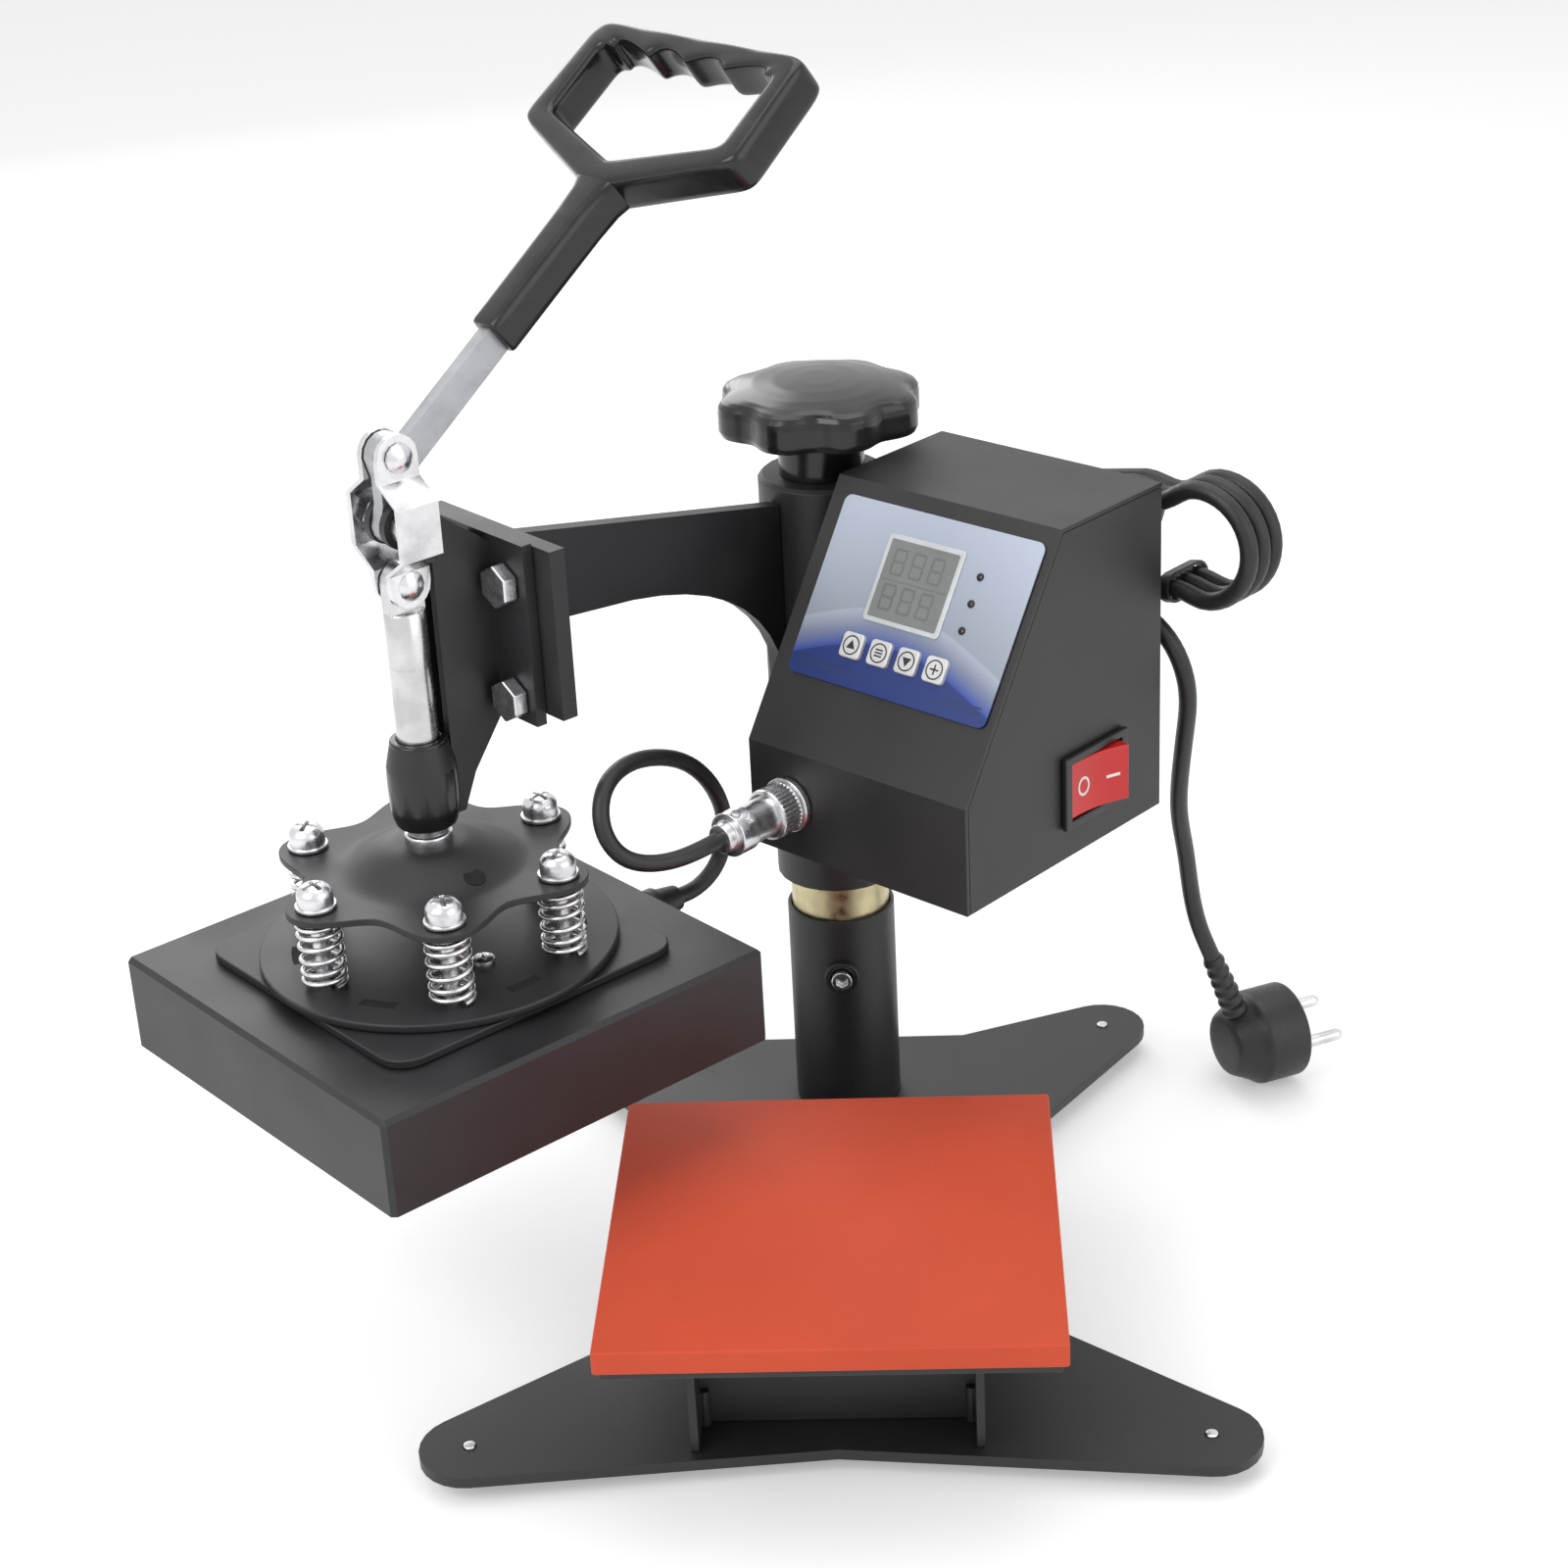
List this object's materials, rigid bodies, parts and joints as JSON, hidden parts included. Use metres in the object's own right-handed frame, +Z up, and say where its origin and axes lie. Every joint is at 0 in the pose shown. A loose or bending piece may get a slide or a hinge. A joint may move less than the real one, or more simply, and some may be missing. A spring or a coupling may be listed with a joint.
{
  "type": "swing-away heat press",
  "caption": "Small bench-top swing-away heat press: lever toggle over a sprung heated platen, silicone pad on a pedestal, control box on the arm.",
  "frame": {"origin": "on the standing surface, below the middle of the press without its mains lead", "axes": "+Z up, -Y towards the operator (the pad's side), +X to the operator's right"},
  "size_m": [0.4414, 0.3361, 0.4318],
  "materials": {
    "black_powder_coat": "satin, fine texture",
    "black_gloss_plastic": "gloss",
    "black_plastic": "satin",
    "black_rubber": "satin",
    "zinc_plating": "bright zinc plating",
    "yellow_zinc": "yellow-tinted zinc plating",
    "orange_silicone": "matt",
    "panel_film": "printed film",
    "module_case": "circuit board",
    "bare_aluminium": "machined",
    "ceramic_wool": "fibrous",
    "button_silver": "satin",
    "switch_red": "gloss, translucent"
  },
  "bodies": {
    "base": {"base_plate": "black_powder_coat", "foot_front_left": "black_rubber", "foot_front_right": "black_rubber", "foot_rear_left": "black_rubber", "foot_rear_right": "black_rubber", "pedestal": "black_powder_coat", "bed_plate": "black_powder_coat", "silicone_pad": "orange_silicone", "column_tube": "black_powder_coat", "column_set_screw": "zinc_plating", "column_post": "yellow_zinc"},
    "swing_arm": {"swing_hub": "black_powder_coat", "swing_arm_plate": "black_powder_coat", "clamp_frame": "black_powder_coat", "clamp_bolt_1": "zinc_plating", "clamp_bolt_2": "zinc_plating", "clamp_bolt_3": "zinc_plating", "clamp_bolt_4": "zinc_plating", "lever_pivot_bolt": "zinc_plating", "control_box_wrap": "black_powder_coat", "control_box_chassis": "black_powder_coat", "control_panel": "panel_film", "controller_module": "module_case", "rocker_frame": "black_plastic", "connector_socket": "zinc_plating", "connector_plug": "zinc_plating", "mains_gland": "black_rubber", "heater_cable": "black_rubber", "mains_lead_entry": "black_rubber", "mains_hank": "black_rubber", "cord_tie": "black_plastic", "mains_lead_drop": "black_rubber", "mains_plug": "black_rubber"},
    "knob": {"pressure_knob": "black_gloss_plastic", "knob_spindle": "zinc_plating"},
    "lever": {"lever_bar": "zinc_plating", "handle_grip": "black_gloss_plastic", "crank_pin": "zinc_plating"},
    "toggle_link": {"toggle_link_left": "zinc_plating", "toggle_link_right": "zinc_plating"},
    "plunger": {"plunger_rod": "zinc_plating", "spider_plate": "black_powder_coat", "pressure_spring_1": "zinc_plating", "pressure_spring_2": "zinc_plating", "pressure_spring_3": "zinc_plating", "pressure_spring_4": "zinc_plating", "pressure_spring_5": "zinc_plating", "pressure_spring_6": "zinc_plating"},
    "head": {"head_cover": "black_powder_coat", "mounting_plate": "black_powder_coat", "mounting_disc": "black_powder_coat", "heating_platen": "bare_aluminium", "insulation_blanket": "ceramic_wool", "head_gland": "black_rubber"},
    "button_1": {"button_1": "button_silver"},
    "button_2": {"button_2": "button_silver"},
    "button_3": {"button_3": "button_silver"},
    "button_4": {"button_4": "button_silver"},
    "rocker": {"rocker_switch": "switch_red"}
  },
  "joints": [
    {"name": "arm_swing", "type": "hinge", "parent": "base", "child": "swing_arm", "pos_m": [0.053, 0.099, 0.11], "axis": [0, 0, 1], "range_deg": [-45, 46.55]},
    {"name": "knob_turn", "type": "hinge", "parent": "swing_arm", "child": "knob", "pos_m": [0.053, 0.099, 0.27], "axis": [0, 0, 1], "range_deg": [0, 270]},
    {"name": "lever_pull", "type": "hinge", "parent": "swing_arm", "child": "lever", "pos_m": [-0.08007, -0.02706, 0.301], "axis": [0.6877, -0.726, 0], "range_deg": [0, 135]},
    {"name": "link_turn", "type": "hinge", "parent": "lever", "child": "toggle_link", "pos_m": [-0.08007, -0.02706, 0.324], "axis": [0.6877, -0.726, 0], "range_deg": [-113.2, 0]},
    {"name": "plunger_slide", "type": "slide", "parent": "swing_arm", "child": "plunger", "axis": [0, 0, -1], "range_m": [0, 0.0362]},
    {"name": "head_float", "type": "slide", "parent": "plunger", "child": "head", "axis": [0, 0, 1], "range_m": [0, 0.004], "stiffness_N_per_m": 8000, "springref_m": -0.003, "deforming": ["pressure_spring_1", "pressure_spring_2", "pressure_spring_3", "pressure_spring_4", "pressure_spring_5", "pressure_spring_6"]},
    {"name": "button_1_press", "type": "slide", "parent": "swing_arm", "child": "button_1", "axis": [0.5403, 0.6416, -0.5445], "range_m": [0, 0.001], "stiffness_N_per_m": 200, "springref_m": -0.001},
    {"name": "button_2_press", "type": "slide", "parent": "swing_arm", "child": "button_2", "axis": [0.5403, 0.6416, -0.5445], "range_m": [0, 0.001], "stiffness_N_per_m": 200, "springref_m": -0.001},
    {"name": "button_3_press", "type": "slide", "parent": "swing_arm", "child": "button_3", "axis": [0.5403, 0.6416, -0.5445], "range_m": [0, 0.001], "stiffness_N_per_m": 200, "springref_m": -0.001},
    {"name": "button_4_press", "type": "slide", "parent": "swing_arm", "child": "button_4", "axis": [0.5403, 0.6416, -0.5445], "range_m": [0, 0.001], "stiffness_N_per_m": 200, "springref_m": -0.001},
    {"name": "rocker_turn", "type": "hinge", "parent": "swing_arm", "child": "rocker", "pos_m": [0.14519, 0.01535, 0.1834], "axis": [0, 0, 1], "range_deg": [0, 24]}
  ],
  "couplings": [
    {"joint": "link_turn", "follows": "lever_pull", "ratio": -0.8374},
    {"joint": "plunger_slide", "follows": "lever_pull", "m_per_rad": 0.015321}
  ]
}
